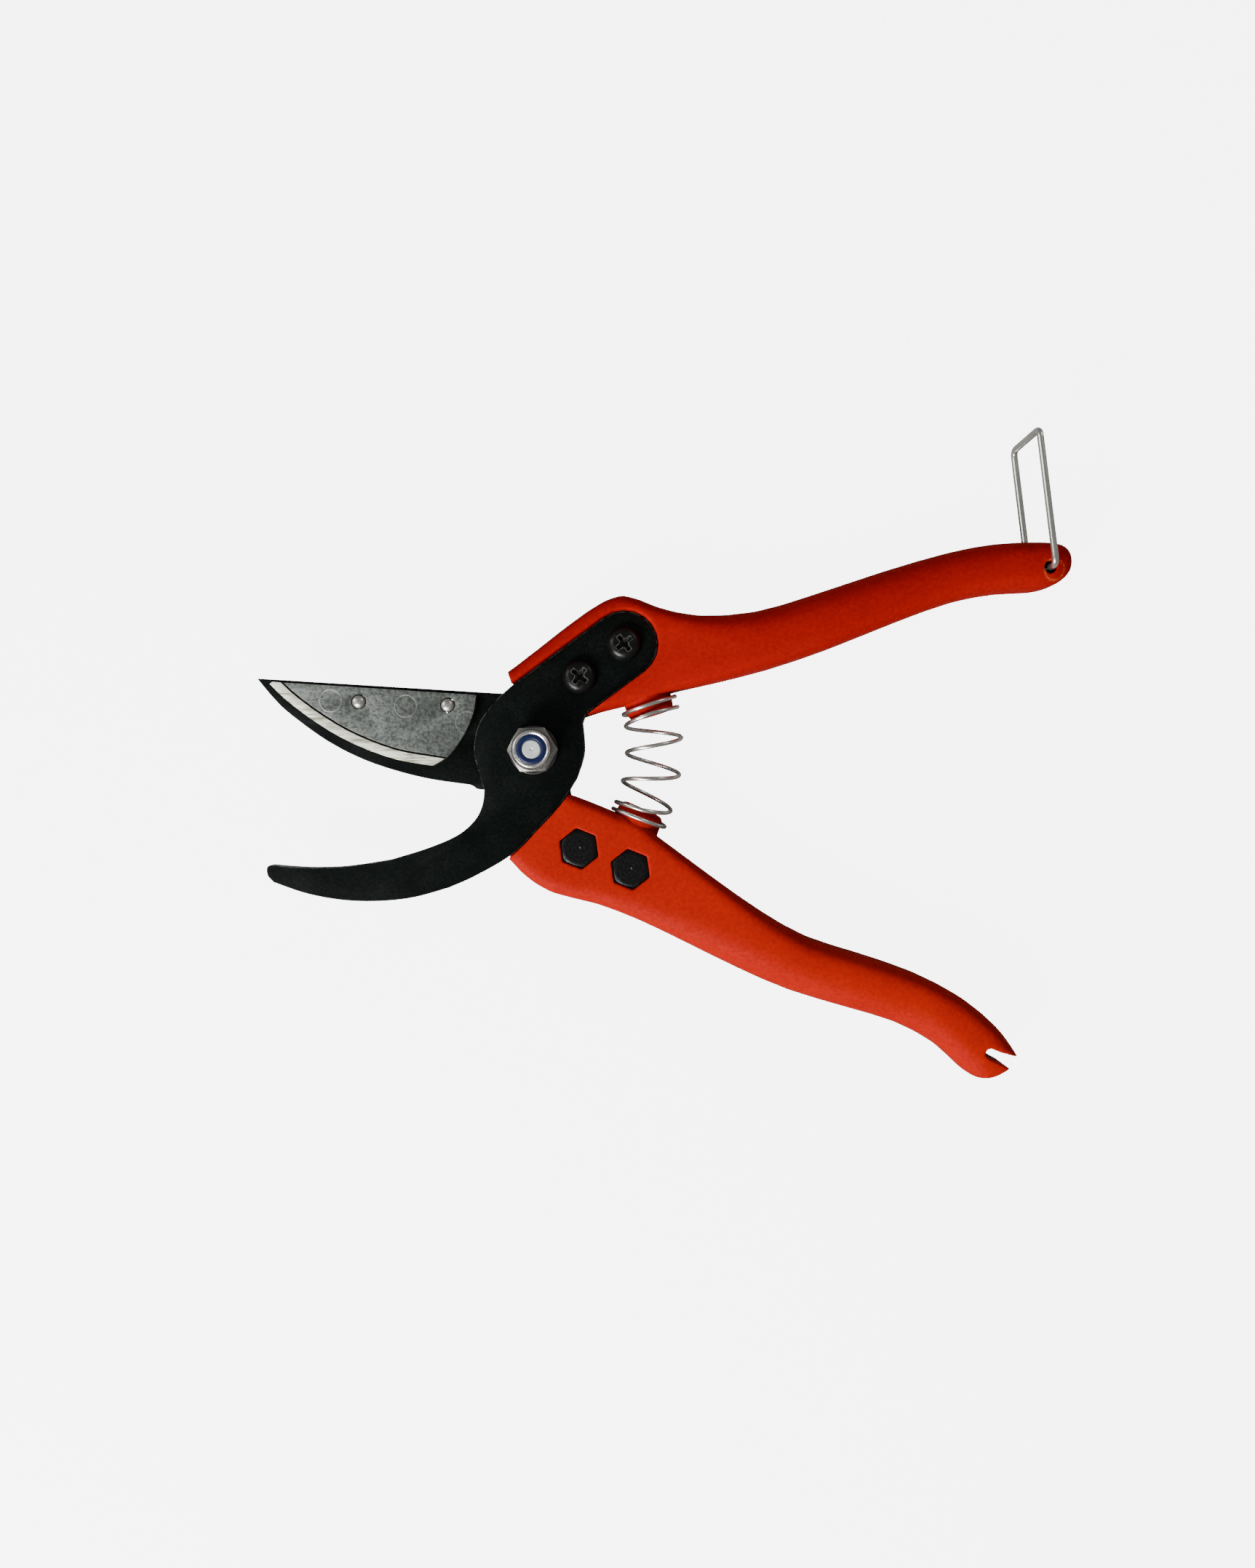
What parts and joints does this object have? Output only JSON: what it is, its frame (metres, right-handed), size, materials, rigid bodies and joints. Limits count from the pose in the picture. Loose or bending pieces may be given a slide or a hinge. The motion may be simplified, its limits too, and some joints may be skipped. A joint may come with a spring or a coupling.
{
  "type": "pruning shears",
  "caption": "Bypass pruning shears: a curved blade with a stem-holding plate passes a hooked jaw; two moulded handles, a coil spring between them, and a swinging wire latch at their ends.",
  "frame": {"origin": "on the pivot axis, at the flat bottom of the pivot bolt's head, which is where the open shears rest on a table", "axes": "+Z along the pivot bolt, from its head to its lock nut; +X towards the ends of the handles, so the jaws point to -X; +Y towards the upper handle"},
  "size_m": [0.1928, 0.152, 0.0212],
  "materials": {
    "handle": "satin",
    "hook_steel": "satin",
    "blade_steel": "satin",
    "black_screw": "satin",
    "cast_metal": "satin",
    "plated_steel": "gloss",
    "blue_nylon": "satin",
    "spring_steel": "gloss"
  },
  "bodies": {
    "hook_side": {"upper_handle": "handle", "hook": "hook_steel", "hook_screw_1": "black_screw", "hook_screw_2": "black_screw", "hook_nut_1": "black_screw", "hook_nut_2": "black_screw", "pivot_bolt": "plated_steel", "rear_washer": "plated_steel", "front_washer": "plated_steel", "lock_nut": "plated_steel", "lock_nut_ring": "blue_nylon", "spring": "spring_steel"},
    "blade_side": {"lower_handle": "handle", "blade": "blade_steel", "holding_plate": "cast_metal", "plate_rivet_1": "plated_steel", "plate_rivet_2": "plated_steel", "blade_screw_1": "black_screw", "blade_screw_2": "black_screw", "blade_nut_1": "black_screw", "blade_nut_2": "black_screw"},
    "latch": {"latch_wire": "spring_steel"}
  },
  "joints": [
    {"name": "cut", "type": "hinge", "parent": "hook_side", "child": "blade_side", "pos_m": [0, 0, 0.0094], "axis": [0, 0, 1], "range_deg": [0, 39], "stiffness_Nm_per_rad": 1.2, "springref_deg": -11.46, "deforming": ["spring"]},
    {"name": "latch_swing", "type": "hinge", "parent": "hook_side", "child": "latch", "pos_m": [0.1204, 0.0426, 0.0094], "axis": [0, 0, 1], "range_deg": [-174.4, 75]}
  ]
}
